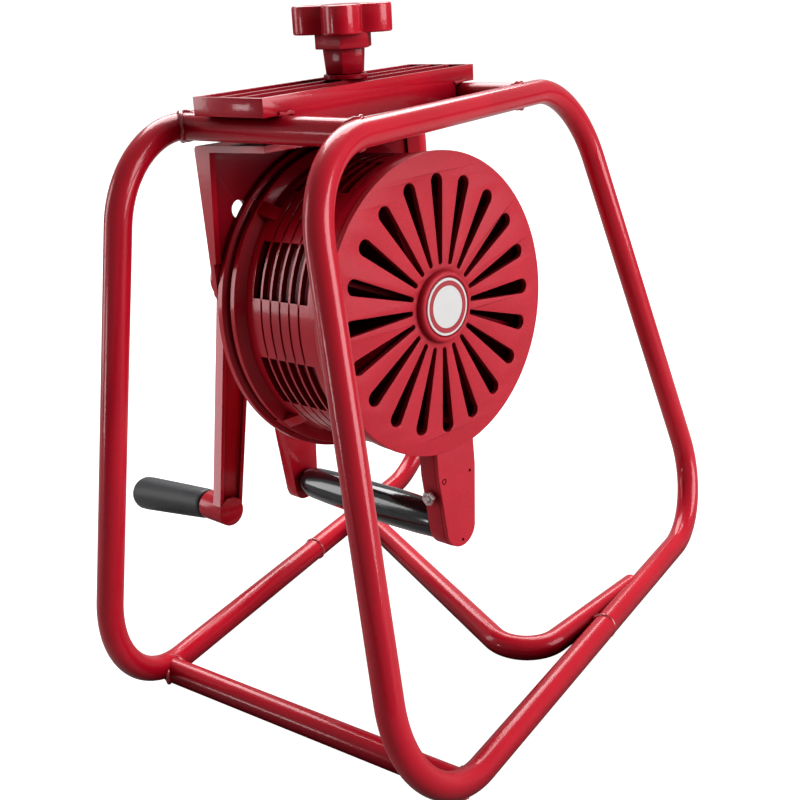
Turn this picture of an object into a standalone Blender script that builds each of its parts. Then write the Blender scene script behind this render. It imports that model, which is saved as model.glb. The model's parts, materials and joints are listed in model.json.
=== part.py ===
"""Hand-cranked mechanical siren clamped in a welded tube stand.

World frame: origin on the floor under the stand's base brace, +X the way the grille faces, +Y to its
left, +Z up.  Dimensions are millimetres, turned into metres by MM when geometry is made.
The siren head has its own frame: x along the rotor axis (0 at the grille's face, rear is negative),
y across and z up, turned a little from the stand's frame the way the clamp holds it.
"""

import math

import bmesh
import bpy
from mathutils import Matrix, Vector

MM = 0.001
GAP = 0.3                      # clearance between neighbouring pieces

# Stand
TUBE_R = 8.0                   # 16 mm tube
BAR_Z = 347.8                  # centre height of the top bars
FACET = math.pi / 12           # half the angle of one side of a bar's 12-sided section
BASE_Z = TUBE_R * math.cos(FACET)   # the bottom bars rest on a flat side
FRONT_TOP = ((42.0, -156.5), (26.5, 156.5))
FRONT_BASE = ((132.5, -222.7), (110.4, 224.7))
REAR_TOP = ((-91.7, -156.5), (-108.0, 156.5))
REAR_BASE = ((-93.3, -222.7), (-149.6, 222.7))
# centreline radii of the bends: near top, far top, far base, near base
FRONT_BENDS = (62.0, 66.0, 57.0, 62.0)
REAR_BENDS = (59.0, 62.0, 62.0, 61.0)
BEND_STEPS = 8
NEAR_CROSS_Y = -105.8
FAR_CROSS_Y = 80.5
BASE_CROSS_Y = -164.9
BRACE_Y = (86.0, -44.8, 86.0)  # brace: rear end, bend, front end
BRACE_BEND_X = 96.5
BRACE_BEND_R = 25.0
VENT_R = 1.2

# Clamp tray and clamp, centred on the clamp bolt
CLAMP_X = -40.9
CLAMP_Y = -13.6
TRAY_LENGTH = 216.0
TRAY_WIDTH = 52.0
TRAY_HEIGHT = 10.6
TRAY_WALL = 2.6
RAIL_WALL = 2.4
SLOT_WIDTH = 12.6
SLOT_LENGTH = 150.0
SKIRT_DEPTH = 8.5              # the tray hangs this far down between the cross bars
BOLT_R = 5.0
WASHER_R = 13.6
WASHER_T = 3.0
KNOB_TURN = math.radians(36)   # how far the knob's lobes are round from +X

# Siren head: where its frame sits and how it is turned
HEAD_ORIGIN = (24.9, -13.6, 228.5)
HEAD_YAW = math.radians(-9.7)
HEAD_TILT = math.radians(3.2)

# Casing
GRILLE_R = 96.2
GRILLE_T = 4.0
GRILLE_TURN = math.radians(-2.6)
SLOT_COUNT = 20
HUB_R = 22.7
BADGE_R = 18.2
CASE_R = 94.0
CASE_WALL = 3.6
CASE_REAR = -94.0
FLANGE_R = 104.7
PORTS = 8
PORT_PITCH = 8.8
PORT_OPEN = 7.0
PORT_FIRST = -24.3
PORT_ROWS = 6
PORT_SPAN = 36.0

# Bracket
PLATE_T = 4.0
PLATE_FRONT = CASE_REAR - GAP
FLANGE_TOP = 112.2
BRACKET_ENDS = (-102.0, 87.3)
POCKET_DEPTH = 2.4
FOLD_DEPTH = 11.0              # the near edge of the bracket's plate is folded forward, more at the top
BRACKET_TIP = -31.0
BOLT_CIRCLE = 84.0

# Drive: crank gear to layshaft pinion, layshaft gear to rotor pinion, one centre distance
MODULE = 1.0
CRANK_TEETH, SMALL_TEETH = 56, 16
BIG_TEETH, ROTOR_TEETH = 54, 18
SHAFT_R = 5.0
LAY_SHAFT_R = 4.0
LAY_DISTANCE = MODULE * (CRANK_TEETH + SMALL_TEETH) / 2
ROTOR_R = 88.6
HOUSING_R = 58.0
HOUSING_Z = 11.0               # the gearbox is centred above the rotor axis
HOUSING_REAR = -136.0
NECK_R = 17.0
NECK_END = -200.0
CRANK_LENGTH = 180.0
CRANK_ANGLE = math.radians(11.5)
CRANK_FRONT = -209.0           # front face of the crank's grip boss
CRANK_DEPTH = 28.0
CRANK_WEB = (-209.8, -219.4)   # front and rear faces of the crank's bar
CRANK_REACH = 10.8
GRIP_R = 13.7
GRIP_DROOP = math.radians(6.2)   # the grip hangs back and down from square
GRIP_LENGTH = 92.0

# Carry handle
ARM_T = 16.0
ARM_Y = 1.5
HANDLE_Z = -152.0
ARM_END_Z = -165.6
REAR_ARM_X = -159.0
REAR_ARM_T = 11.0

SIDES = 40

PALETTE = {
    "red": ((0.56, 0.012, 0.03), 0.28, 0.1),
    "satin_red": ((0.5, 0.03, 0.045), 0.5, 0.05),
    "black": ((0.012, 0.012, 0.014), 0.3, 0.0),
    "dark_grey": ((0.03, 0.03, 0.034), 0.5, 0.0),
    "zinc": ((0.7, 0.7, 0.72), 0.3, 1.0),
    "steel": ((0.5, 0.5, 0.52), 0.35, 1.0),
    "bronze": ((0.5, 0.33, 0.14), 0.4, 1.0),
    "white": ((0.85, 0.85, 0.85), 0.4, 0.0),
}


# ---------------------------------------------------------------- scene helpers

def clear_scene():
    for old in list(bpy.data.objects):
        bpy.data.objects.remove(old, do_unlink=True)


def new_collection(name):
    made = bpy.data.collections.new(name)
    bpy.context.scene.collection.children.link(made)
    return made


clear_scene()
PARTS = new_collection("hand_siren")
CUTTERS = new_collection("cutters")
CUTTERS.hide_render = True


def material(name):
    found = bpy.data.materials.get(name)
    if found:
        return found
    colour, rough, metal = PALETTE[name]
    made = bpy.data.materials.new(name)
    made.use_nodes = True
    shader = made.node_tree.nodes["Principled BSDF"]
    shader.inputs["Base Color"].default_value = (*colour, 1)
    shader.inputs["Roughness"].default_value = rough
    shader.inputs["Metallic"].default_value = metal
    return made


def empty(name, parent=None, at=(0, 0, 0), turn=(0, 0, 0)):
    made = bpy.data.objects.new(name, None)
    PARTS.objects.link(made)
    made.parent = parent
    made.location = Vector(at) * MM
    made.rotation_euler = turn
    return made


def add(name, data, finish, parent=None, at=(0, 0, 0), turn=(0, 0, 0)):
    made = bpy.data.objects.new(name, data)
    PARTS.objects.link(made)
    made.parent = parent
    made.location = Vector(at) * MM
    made.rotation_euler = turn
    data.materials.clear()
    data.materials.append(material(finish))
    return made


def as_cutter(obj):
    PARTS.objects.unlink(obj)
    CUTTERS.objects.link(obj)
    obj.hide_render = True
    obj.display_type = "WIRE"
    return obj


def baked(obj, name):
    """The object's evaluated shape as a welded mesh object in the same place; the old one goes."""
    bpy.context.view_layer.update()
    graph = bpy.context.evaluated_depsgraph_get()
    mesh = bpy.data.meshes.new_from_object(obj.evaluated_get(graph))
    work = bmesh.new()
    work.from_mesh(mesh)
    bmesh.ops.remove_doubles(work, verts=work.verts, dist=1e-6)
    bmesh.ops.recalc_face_normals(work, faces=work.faces)
    work.to_mesh(mesh)
    work.free()
    made = bpy.data.objects.new(name, mesh)
    PARTS.objects.link(made)
    made.matrix_world = obj.matrix_world
    bpy.data.objects.remove(obj, do_unlink=True)
    return made


def boolean(obj, other, operation="DIFFERENCE"):
    cut = obj.modifiers.new(other.name, "BOOLEAN")
    cut.operation = operation
    cut.solver = "EXACT"
    cut.object = other


def joined(obj, others, name):
    """One body made of obj and the others, by union."""
    for other in others:
        boolean(obj, other, "UNION")
    made = baked(obj, name)
    for other in others:
        bpy.data.objects.remove(other, do_unlink=True)
    return made


def smooth(obj, angle=32):
    obj.data.shade_smooth()
    obj.data.set_sharp_from_angle(angle=math.radians(angle))


def bevel(obj, width, segments=1, angle=40):
    soft = obj.modifiers.new("edge", "BEVEL")
    soft.width = width * MM
    soft.segments = segments
    soft.limit_method = "ANGLE"
    soft.angle_limit = math.radians(angle)


# ---------------------------------------------------------------- shape helpers

ALONG_X = (0, math.pi / 2, 0)      # turns a shape's own +Z to its parent's +X


def turned(name, profile, finish, parent=None, at=(0, 0, 0), turn=ALONG_X, steps=SIDES, closed=False):
    """A profile of (radius, height) points, run down its outer side, spun round its own Z."""
    mesh = bpy.data.meshes.new(name)
    work = bmesh.new()
    points = [work.verts.new((r * MM, 0, z * MM)) for r, z in profile]
    for a, b in zip(points, points[1:]):
        work.edges.new((a, b))
    if closed:
        work.edges.new((points[-1], points[0]))
    work.to_mesh(mesh)
    work.free()
    made = add(name, mesh, finish, parent, at, turn)
    spin = made.modifiers.new("spin", "SCREW")
    spin.steps = spin.render_steps = steps
    spin.use_merge_vertices = True
    spin.merge_threshold = 1e-6
    spin.use_smooth_shade = True
    return made


def ring_profile(inner, outer, low, high, soft=0.0):
    """A closed ring section with its outer corners cut by soft."""
    if soft:
        return [(outer - soft, high), (outer, high - soft), (outer, low + soft), (outer - soft, low),
                (inner, low), (inner, high)]
    return [(outer, high), (outer, low), (inner, low), (inner, high)]


def ring(name, inner, outer, low, high, finish, parent, at=(0, 0, 0), turn=ALONG_X, soft=0.0, steps=SIDES):
    return turned(name, ring_profile(inner, outer, low, high, soft), finish, parent, at, turn, steps, True)


def rod_profile(radius, low, high, soft=0.5):
    return [(0, high), (radius - soft, high), (radius, high - soft),
            (radius, low + soft), (radius - soft, low), (0, low)]


def rod(name, radius, low, high, finish, parent, at=(0, 0, 0), turn=ALONG_X, soft=0.5, steps=24):
    return turned(name, rod_profile(radius, low, high, soft), finish, parent, at, turn, steps)


def drill(name, radius, low, high, parent, at=(0, 0, 0), turn=ALONG_X, steps=20):
    return as_cutter(rod(name, radius, low, high, "steel", parent, at, turn, 0.01, steps))


def block(name, size, at, parent=None, turn=(0, 0, 0), finish="steel"):
    mesh = bpy.data.meshes.new(name)
    work = bmesh.new()
    bmesh.ops.create_cube(work, size=1, matrix=Matrix.Diagonal((*(Vector(size) * MM), 1)))
    work.to_mesh(mesh)
    work.free()
    return add(name, mesh, finish, parent, at, turn)


def slab(name, outlines, low, high, finish, parent=None, at=(0, 0, 0), turn=(0, 0, 0)):
    """Flat outlines, the first the rim and the rest holes, extruded from low to high along own Z."""
    curve = bpy.data.curves.new(name, "CURVE")
    curve.dimensions = "2D"
    curve.fill_mode = "BOTH"
    curve.extrude = (high - low) / 2 * MM
    for outline in outlines:
        spline = curve.splines.new("POLY")
        spline.points.add(len(outline) - 1)
        for point, (x, y) in zip(spline.points, outline):
            point.co = (x * MM, y * MM, 0, 1)
        spline.use_cyclic_u = True
    flat = bpy.data.objects.new(name + "_outline", curve)
    PARTS.objects.link(flat)
    flat.matrix_world = Matrix.Translation((0, 0, (high + low) / 2 * MM))
    made = baked(flat, name)
    made.data.transform(made.matrix_world)
    made.matrix_world = Matrix.Identity(4)
    made.parent = parent
    made.location = Vector(at) * MM
    made.rotation_euler = turn
    made.data.materials.clear()
    made.data.materials.append(material(finish))
    return made


def tube(name, points, radius, finish="red", cyclic=False, resolution=4, parent=None):
    """A bar of round section along a polyline, as a mesh."""
    curve = bpy.data.curves.new(name, "CURVE")
    curve.dimensions = "3D"
    curve.bevel_depth = radius * MM
    curve.bevel_resolution = resolution
    curve.use_fill_caps = not cyclic
    spline = curve.splines.new("POLY")
    spline.points.add(len(points) - 1)
    for point, co in zip(spline.points, points):
        point.co = (*(Vector(co) * MM), 1)
        point.tilt = 0 if cyclic else FACET
    spline.use_cyclic_u = cyclic
    line = bpy.data.objects.new(name + "_line", curve)
    PARTS.objects.link(line)
    made = baked(line, name)
    made.parent = parent
    made.data.materials.clear()
    made.data.materials.append(material(finish))
    smooth(made, 50)
    return made


def arc(radius, start, end, steps, centre=(0, 0)):
    """Points on an arc, angles in degrees, both ends included."""
    made = []
    for i in range(steps + 1):
        angle = math.radians(start + (end - start) * i / steps)
        made.append((centre[0] + radius * math.cos(angle), centre[1] + radius * math.sin(angle)))
    return made


def circle(radius, steps=SIDES, centre=(0, 0)):
    return arc(radius, 0, 360 - 360 / steps, steps - 1, centre)


def spun(outline, angle):
    turn = Matrix.Rotation(angle, 2)
    return [tuple(turn @ Vector(point)) for point in outline]


def hexagon(across_flats, turn=0.0):
    return spun(circle(across_flats / math.sqrt(3), 6), turn)


def rounded_path(corners, radii, steps, cyclic=False):
    """The polyline through the corners with each one rounded by an arc of its radius."""
    count = len(corners)
    made = []
    for i, corner in enumerate(corners):
        if not cyclic and i in (0, count - 1):
            made.append(Vector(corner))
            continue
        radius = radii[i]
        here = Vector(corner)
        back = (Vector(corners[i - 1]) - here).normalized()
        ahead = (Vector(corners[(i + 1) % count]) - here).normalized()
        half = back.angle(ahead) / 2
        centre = here + (back + ahead).normalized() * (radius / math.sin(half))
        start = here + back * (radius / math.tan(half)) - centre
        end = here + ahead * (radius / math.tan(half)) - centre
        for k in range(steps + 1):
            share = k / steps
            sweep = start.angle(end)
            mix = start * math.sin((1 - share) * sweep) + end * math.sin(share * sweep)
            made.append(centre + mix / math.sin(sweep))
    return made


# ---------------------------------------------------------------- stand

def loop_path(top, base, bends):
    corners = [(*top[0], BAR_Z), (*top[1], BAR_Z), (*base[1], BASE_Z), (*base[0], BASE_Z)]
    return rounded_path(corners, bends, BEND_STEPS, cyclic=True)


def across(ends, y):
    """The x of the line through two (x, y) ends at a given y."""
    (x0, y0), (x1, y1) = ends
    return x0 + (x1 - x0) * (y - y0) / (y1 - y0)


def brace_crossing():
    """The y at which the straight rear leg of the base brace crosses x = 0."""
    rear_y, bend_y, _ = BRACE_Y
    rear_x = across(REAR_BASE, rear_y)
    return rear_y + (bend_y - rear_y) * -rear_x / (BRACE_BEND_X - rear_x)


def make_stand():
    loops = {"front_frame_loop": (FRONT_TOP, FRONT_BASE, FRONT_BENDS),
             "rear_frame_loop": (REAR_TOP, REAR_BASE, REAR_BENDS)}
    saddles = []
    for name, shape in loops.items():
        path = loop_path(*shape)
        tube(name, path, TUBE_R, cyclic=True)
        saddles.append(as_cutter(tube(name + "_saddle", path, TUBE_R + GAP, cyclic=True)))
    bars = {}
    for name, y in (("top_cross_bar_near", NEAR_CROSS_Y), ("top_cross_bar_far", FAR_CROSS_Y)):
        bars[name] = [(across(REAR_TOP, y), y, BAR_Z), (across(FRONT_TOP, y), y, BAR_Z)]
    bars["base_cross_bar"] = [(across(REAR_BASE, BASE_CROSS_Y), BASE_CROSS_Y, BASE_Z),
                              (across(FRONT_BASE, BASE_CROSS_Y), BASE_CROSS_Y, BASE_Z)]
    rear_y, bend_y, front_y = BRACE_Y
    brace = [(across(REAR_BASE, rear_y), rear_y, BASE_Z), (BRACE_BEND_X, bend_y, BASE_Z),
             (across(FRONT_BASE, front_y) - 0.6 * TUBE_R, front_y, BASE_Z)]
    bars["base_brace"] = rounded_path(brace, (0, BRACE_BEND_R, 0), BEND_STEPS)
    for name, path in bars.items():
        bar = tube(name, path, TUBE_R)
        for saddle in saddles:
            boolean(bar, saddle)


def make_tray():
    half_l, half_w = TRAY_LENGTH / 2, TRAY_WIDTH / 2
    floor = BAR_Z + TUBE_R + GAP
    at = (CLAMP_X, CLAMP_Y, floor + TRAY_HEIGHT / 2)
    plate = block("tray_plate", (TRAY_WIDTH, TRAY_LENGTH, TRAY_HEIGHT), at, finish="red")
    near, far = NEAR_CROSS_Y + TUBE_R + 1.0, FAR_CROSS_Y - TUBE_R - 1.0
    skirt = block("tray_skirt", (TRAY_WIDTH, far - near, SKIRT_DEPTH + 1),
                  (CLAMP_X, (near + far) / 2, floor - (SKIRT_DEPTH - 1) / 2), finish="red")
    tray = joined(plate, [skirt], "clamp_tray")
    rail = SLOT_WIDTH / 2 + RAIL_WALL
    lift = TRAY_WALL
    channel = half_w - TRAY_WALL - rail
    for side in (-1, 1):
        pocket = block("tray_pocket", (channel, TRAY_LENGTH - 2 * TRAY_WALL, TRAY_HEIGHT),
                       (CLAMP_X + side * (rail + channel / 2), CLAMP_Y, floor + lift + TRAY_HEIGHT / 2))
        boolean(tray, as_cutter(pocket))
    trough = block("tray_trough", (SLOT_WIDTH, TRAY_LENGTH - 2 * TRAY_WALL, TRAY_HEIGHT),
                   (CLAMP_X, CLAMP_Y, floor + lift + TRAY_HEIGHT / 2))
    boolean(tray, as_cutter(trough))
    slot = block("tray_slot", (SLOT_WIDTH - 1, SLOT_LENGTH, 3 * SKIRT_DEPTH), (CLAMP_X, CLAMP_Y, floor))
    boolean(tray, as_cutter(slot))
    return floor + TRAY_HEIGHT


# ---------------------------------------------------------------- clamp

def star_outline(lobes, reach, waist, steps):
    """A knob rim whose radius swings between waist and reach."""
    made = []
    for i in range(steps):
        angle = 2 * math.pi * i / steps
        wave = (1 + math.cos(lobes * angle)) / 2
        radius = waist + (reach - waist) * wave ** 0.7
        made.append((radius * math.cos(angle), radius * math.sin(angle)))
    return made


def make_clamp(tray_top):
    head_low = 326.0
    clamp = empty("clamp_axis", None, (CLAMP_X, CLAMP_Y, 0))
    ring("clamp_washer", BOLT_R + GAP, WASHER_R, tray_top + GAP, tray_top + GAP + WASHER_T, "red", clamp,
         turn=(0, 0, 0), soft=0.6, steps=24)
    base = tray_top + 2 * GAP + WASHER_T
    neck_top, collar_top, head_top = base + 15.0, base + 23.6, base + 40.6
    head = slab("knob_head", [star_outline(4, 30.5, 17.5, 40)], collar_top - 1, head_top, "red", clamp,
                turn=(0, 0, KNOB_TURN))
    bevel(head, 1.8, 1, 50)
    head = baked(head, "knob_head")
    collar = slab("knob_collar", [hexagon(32.4)], neck_top - 1, collar_top, "red", clamp)
    neck = turned("knob_neck", [(0, neck_top), (14.2, neck_top), (12.8, base), (0, base)], "red", clamp,
                  turn=(0, 0, 0), steps=6)
    knob = joined(head, [collar, neck], "star_knob")
    boolean(knob, drill("knob_bore", BOLT_R + GAP, base - 5, collar_top + 5, clamp, turn=(0, 0, 0)))
    shank = rod("clamp_shank", BOLT_R, head_low + 3, collar_top + 3, "zinc", clamp, turn=(0, 0, 0))
    cap = slab("clamp_cap", [hexagon(17.0)], head_low, head_low + 6.4, "zinc", clamp)
    joined(cap, [shank], "clamp_bolt")


# ---------------------------------------------------------------- siren head: casing

def make_bracket(head):
    top, low, shoulder = FLANGE_TOP, -52.0, 20.0
    left, right = BRACKET_ENDS
    front, rear = PLATE_FRONT, PLATE_FRONT - PLATE_T
    section = [(rear, low), (front, low), (front, top - PLATE_T), (BRACKET_TIP, top - PLATE_T),
               (BRACKET_TIP, top), (rear, top)]
    sheet = slab("bracket_sheet", [section], -right, -left, "red", head, turn=(math.pi / 2, 0, 0))
    fold = [(rear + 1, 40), (front + 2, 40), (front + FOLD_DEPTH, top - 1), (rear + 1, top - 1)]
    side = slab("bracket_fold", [fold], -left - PLATE_T, -left, "red", head, turn=(math.pi / 2, 0, 0))
    bracket = joined(sheet, [side], "mounting_bracket")
    facing = (math.pi / 2, 0, math.pi / 2)
    openings = [circle(48, 40, (0, HOUSING_Z)), circle(6, 20, (-77, 70))]
    for side, end in ((-1, left), (1, right)):
        openings.append([(end + 5 * side, shoulder), (end, shoulder), (60 * side, low - 2),
                         (end + 5 * side, low - 2)])
    for angle in (45, 135, 225, 315):
        openings.append(circle(3.3, 12, (BOLT_CIRCLE * math.cos(math.radians(angle)),
                                         BOLT_CIRCLE * math.sin(math.radians(angle)))))
    for i, outline in enumerate(openings):
        boolean(bracket, as_cutter(slab(f"bracket_opening_{i}", [outline], rear - 5, front + 5, "steel", head,
                                        turn=facing)))
    pocket = [(46, 82), (75.5, 82), (75.5, 95), (73.5, 97), (46, 97)]
    boolean(bracket, as_cutter(slab("bracket_pocket", [pocket], front - POCKET_DEPTH, front + 5, "steel", head,
                                    turn=facing)))
    boolean(bracket, drill("bracket_bore", BOLT_R + 1.6, 300, 360, None, (CLAMP_X, CLAMP_Y, 0), (0, 0, 0)))


def port_cutter(name, radius, depth, span, rows, first, pitch, width, head, start):
    """Boxes through a drum wall: rows along the axis at each of the eight port angles."""
    mesh = bpy.data.meshes.new(name)
    work = bmesh.new()
    for port in range(PORTS):
        around = Matrix.Rotation(math.radians(start + port * 360 / PORTS), 4, "X")
        for row in range(rows):
            place = Matrix.Translation(Vector((first - row * pitch, radius, 0)) * MM)
            size = Matrix.Diagonal((*(Vector((width, depth, span)) * MM), 1))
            bmesh.ops.create_cube(work, size=1, matrix=around @ place @ size)
    work.to_mesh(mesh)
    work.free()
    return as_cutter(add(name, mesh, "steel", head))


def make_casing(head):
    outer, inner = CASE_R, CASE_R - CASE_WALL
    front = -GRILLE_T - GAP
    profile = [(inner, front), (outer + 1.6, front), (outer + 1.6, -13.0), (outer, -14.4), (outer, -79.0),
               (outer + 7.5, -81.0), (outer + 7.5, -85.5), (outer + 3.2, -86.6), (outer + 3.2, -88.0),
               (FLANGE_R, -89.0), (FLANGE_R, CASE_REAR), (16.3, CASE_REAR), (16.3, -74.0), (21.5, -74.0),
               (24.0, -86.5), (inner, -86.5)]
    casing = turned("stator_casing", profile, "red", head, steps=36, closed=True)
    ports = port_cutter("casing_ports", CASE_R, 3 * CASE_WALL, PORT_SPAN, PORT_ROWS, PORT_FIRST, PORT_PITCH,
                        PORT_OPEN, head, 22.5)
    boolean(casing, ports)
    boolean(casing, drill("lay_shaft_seat", LAY_SHAFT_R + GAP, CASE_REAR - 5, CASE_REAR + 3.5, head,
                          (0, 0, LAY_DISTANCE)))
    for i, angle in enumerate((45, 135, 225, 315)):
        spot = (0, BOLT_CIRCLE * math.cos(math.radians(angle)), BOLT_CIRCLE * math.sin(math.radians(angle)))
        boolean(casing, drill(f"bracket_bolt_hole_{i}", 3.3, CASE_REAR - 5, CASE_REAR + 5.5, head, spot))


def grille_slot(inner, outer, inner_w, outer_w):
    """A tapered slot with round ends, along +X."""
    return (arc(outer_w / 2, -90, 90, 3, (outer - outer_w / 2, 0))
            + arc(inner_w / 2, 90, 270, 2, (inner + inner_w / 2, 0)))


def make_grille(head):
    facing = (math.pi / 2, 0, math.pi / 2)
    rim = circle(GRILLE_R, 60)
    slot = grille_slot(26.5, 82.8, 3.2, 10.0)
    slots = [spun(slot, math.pi / 2 + GRILLE_TURN + 2 * math.pi * i / SLOT_COUNT) for i in range(SLOT_COUNT)]
    slab("front_grille", [rim] + slots, -GRILLE_T, 0, "satin_red", head, turn=facing)
    profile = [(0, 3.6), (HUB_R - 1.2, 3.6), (HUB_R, 2.4), (HUB_R, GAP), (0, GAP)]
    turned("grille_hub", profile, "satin_red", head, steps=32)
    badge = [(0, 4.9), (BADGE_R, 4.9), (BADGE_R, 3.6 + GAP), (0, 3.6 + GAP)]
    turned("hub_badge", badge, "white", head, steps=32)


def arm_outline(top_z, end_z, top_half, end_half, saddle_r):
    """A handle arm seen along the rotor axis: saddle at the top, rounded at the bottom."""
    round_z = end_z + end_half
    angle = math.degrees(math.asin(top_half / saddle_r))
    saddle = arc(saddle_r, 270 + angle, 270 - angle, 10)
    return saddle + [(-top_half, top_z)] + arc(end_half, 180, 360, 12, (0, round_z)) + [(top_half, top_z)]


def make_handle(head):
    facing = (math.pi / 2, 0, math.pi / 2)
    pin = circle(4.3, 16, (ARM_Y, HANDLE_Z))
    pin_seat = (-ARM_T, ARM_Y, HANDLE_Z)
    rim = [(y + ARM_Y, z) for y, z in arm_outline(-112, ARM_END_Z, 18.0, 14.0, GRILLE_R + GAP)]
    front = slab("front_handle_arm", [rim], -ARM_T, 0, "satin_red", head, turn=facing)
    boolean(front, drill("carry_rod_seat", 4.3, -5, ARM_T - 4, head, pin_seat, steps=16))
    bolt_at = (-ARM_T / 2, ARM_Y, -126)
    across_y = (math.pi / 2, 0, 0)
    boolean(front, drill("arm_bolt_hole", 2.8, -40, 40, head, bolt_at, across_y, 12))
    eye = circle(27, 28)
    low, high = REAR_ARM_X - REAR_ARM_T, REAR_ARM_X
    sides = [(-20, -8), (-14, -112), (-9.5, -160), (-7.5, ARM_END_Z), (10, ARM_END_Z), (12.5, -160), (16, -112),
             (20, -8)]
    blank = slab("rear_arm_blank", [sides, pin], low, high, "red", head, turn=facing)
    collar = slab("rear_arm_eye", [eye], low - 0.2, high + 0.2, "red", head, turn=facing)
    rear = joined(blank, [collar], "rear_handle_arm")
    boolean(rear, drill("rear_arm_bore", NECK_R + GAP, REAR_ARM_X - 30, REAR_ARM_X + 20, head, steps=24))
    low, high = REAR_ARM_X + GAP, -ARM_T - GAP
    middle = (low + high) / 2
    profile = [(4.3, high), (10.8, high), (12.2, high - 3), (13.3, middle + 30), (13.1, middle),
               (12.6, middle - 35), (11.2, low + 6), (8.4, low), (4.3, low)]
    turned("carry_grip", profile, "black", head, (0, ARM_Y, HANDLE_Z), steps=24, closed=True)
    rod("carry_rod", 4.0, REAR_ARM_X - REAR_ARM_T + 1, -4.5, "steel", head, (0, ARM_Y, HANDLE_Z), steps=16)
    rod("handle_bolt", 2.5, -21.5, 24.0, "zinc", head, bolt_at, across_y, 0.4, 14)
    slab("handle_nut", [hexagon(8.6, 0.2), circle(2.8, 14)], 18.3, 22.3, "zinc", head, bolt_at, across_y)


# ---------------------------------------------------------------- siren head: rotor and gears

def make_rotor(head):
    spin = empty("rotor_axis", head)
    vane_w, hub, pad = 3.0, 13.0, ROTOR_R - 3.2
    foot = math.sqrt(hub ** 2 - vane_w ** 2 / 4)
    inner = math.sqrt(pad ** 2 - vane_w ** 2 / 4)
    outline = []
    for i in range(PORTS):
        blade = [(foot, -vane_w / 2), (inner, -vane_w / 2)] + arc(pad, -6, -14, 1) + arc(ROTOR_R, -14, 14, 3)
        blade += arc(pad, 14, 6, 1) + [(inner, vane_w / 2), (foot, vane_w / 2)]
        outline += spun(blade, 2 * math.pi * (i + 0.5) / PORTS)
    facing = (math.pi / 2, 0, math.pi / 2)
    bore = circle(SHAFT_R + GAP, 16)
    vanes = slab("rotor_vanes", [outline, bore], -69.0, -12.0, "red", spin, turn=facing)
    back = slab("rotor_back", [circle(ROTOR_R - 0.4, 40), bore], -72.0, -68.0, "red", spin, turn=facing)
    joined(vanes, [back], "rotor")
    rod("rotor_shaft", SHAFT_R, -109.0, -8.5, "steel", spin, steps=24)
    slab("rotor_nut", [hexagon(17.0), circle(SHAFT_R + GAP, 20)], -11.7, -9.3, "zinc", spin, turn=facing)
    for name, low in (("rotor_bearing_front", -83.6), ("rotor_bearing_rear", -93.6)):
        ring(name, SHAFT_R + GAP, 16.0, low, low + 9.0, "steel", head, steps=24)


def gear_outline(teeth, turn, backlash=0.2, points=2):
    """A spur gear rim with a tooth on +X when turn is 0; the flanks are involutes."""
    pressure = math.radians(25)
    pitch_r = MODULE * teeth / 2
    base_r = pitch_r * math.cos(pressure)
    tip_r = pitch_r + 0.86 * MODULE
    root_r = pitch_r - 1.2 * MODULE
    at_pitch = math.tan(pressure) - pressure
    half_tooth = math.pi / 2 / teeth - backlash / 2 / pitch_r
    start_r = max(base_r, root_r + 0.1 * MODULE)
    flank = []
    for i in range(points):
        radius = start_r + (tip_r - start_r) * i / (points - 1)
        roll = math.sqrt(max((radius / base_r) ** 2 - 1, 0))
        flank.append((radius, half_tooth + at_pitch - (roll - math.atan(roll))))
    outline = []
    for tooth in range(teeth):
        middle = turn + 2 * math.pi * tooth / teeth
        side = [(root_r, flank[0][1] + 0.1 / teeth)] + flank
        polar = [(r, middle - a) for r, a in side] + [(r, middle + a) for r, a in reversed(side)]
        outline += [(r * math.cos(a), r * math.sin(a)) for r, a in polar]
    return outline


def make_gears(head):
    facing = (math.pi / 2, 0, math.pi / 2)
    rotor_spin = bpy.data.objects["rotor_axis"]
    crank_spin = empty("crank_axis", head)
    lay_spin = empty("layshaft_axis", head, (0, 0, LAY_DISTANCE))
    up, down = math.pi / 2, -math.pi / 2
    bore = circle(SHAFT_R + GAP, 20)
    lay_bore = circle(LAY_SHAFT_R + GAP, 16)
    slab("crank_gear", [gear_outline(CRANK_TEETH, up), bore], -120.5, -111.5, "steel", crank_spin, turn=facing)
    slab("layshaft_pinion", [gear_outline(SMALL_TEETH, down + math.pi / SMALL_TEETH), lay_bore],
         -121.0, -111.0, "steel", lay_spin, turn=facing)
    slab("layshaft_gear", [gear_outline(BIG_TEETH, down), lay_bore], -108.0, -101.0, "steel", lay_spin,
         turn=facing)
    slab("rotor_pinion", [gear_outline(ROTOR_TEETH, up + math.pi / ROTOR_TEETH), bore], -108.5, -100.5, "steel",
         rotor_spin, turn=facing)
    rod("layshaft", LAY_SHAFT_R, HOUSING_REAR + 4.5, CASE_REAR + 2.8, "steel", lay_spin, steps=20)
    rod("crank_shaft", SHAFT_R, CRANK_WEB[1] - 13.0, -110.5, "steel", crank_spin, steps=24)


def screw(name, shank, cap, seat, end, head, at):
    """A round-head screw pointing forward, with its head behind the seat."""
    profile = [(0, end), (shank, end), (shank, seat), (cap, seat), (cap, seat - 0.7 * cap),
               (0, seat - 0.7 * cap)]
    turned(name, profile, "zinc", head, at, steps=10)


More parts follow.
